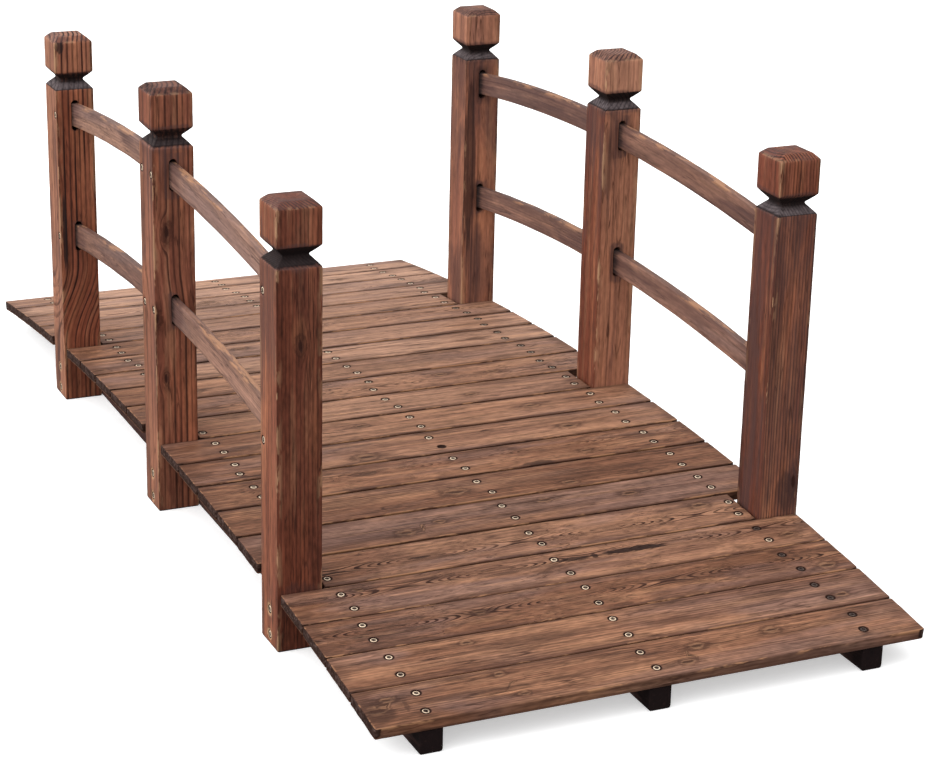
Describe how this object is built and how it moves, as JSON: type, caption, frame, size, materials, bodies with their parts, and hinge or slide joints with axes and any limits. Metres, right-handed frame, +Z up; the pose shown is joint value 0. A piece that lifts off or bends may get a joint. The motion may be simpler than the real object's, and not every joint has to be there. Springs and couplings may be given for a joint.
{
  "type": "garden moon bridge",
  "caption": "Low arched wooden garden bridge of stained deck boards on stringers, with capped square posts and arched rails tenoned into them.",
  "frame": {"origin": "on the ground under the middle of the deck, at the centre of the footprint", "axes": "+X along the bridge towards its near end in the picture, +Y across it towards the right-hand railing, +Z up"},
  "size_m": [1.5348, 0.67, 0.5478],
  "materials": {
    "deck_wood": "stained and scorched softwood, matte",
    "post_wood": "dark red-brown stained softwood, charred at the caps",
    "rail_wood": "grey-brown stained softwood, worn lighter on top",
    "stringer_wood": "charred softwood, nearly black",
    "screw": "bright plated steel, slightly coppery"
  },
  "bodies": {
    "root": {"deck_board_01": "deck_wood", "deck_board_02": "deck_wood", "deck_board_03": "deck_wood", "deck_board_04": "deck_wood", "deck_board_05": "deck_wood", "deck_board_06": "deck_wood", "deck_board_07": "deck_wood", "deck_board_08": "deck_wood", "deck_board_09": "deck_wood", "deck_board_10": "deck_wood", "deck_board_11": "deck_wood", "deck_board_12": "deck_wood", "deck_board_13": "deck_wood", "deck_board_14": "deck_wood", "deck_board_15": "deck_wood", "deck_board_16": "deck_wood", "deck_board_17": "deck_wood", "deck_board_18": "deck_wood", "deck_board_19": "deck_wood", "deck_board_20": "deck_wood", "deck_board_21": "deck_wood", "near_left_post": "post_wood", "mid_left_post": "post_wood", "far_left_post": "post_wood", "near_right_post": "post_wood", "mid_right_post": "post_wood", "far_right_post": "post_wood", "near_left_top_rail": "rail_wood", "near_left_low_rail": "rail_wood", "far_left_top_rail": "rail_wood", "far_left_low_rail": "rail_wood", "near_right_top_rail": "rail_wood", "near_right_low_rail": "rail_wood", "far_right_top_rail": "rail_wood", "far_right_low_rail": "rail_wood", "left_stringer": "stringer_wood", "middle_stringer": "stringer_wood", "right_stringer": "stringer_wood"}
  },
  "joints": []
}
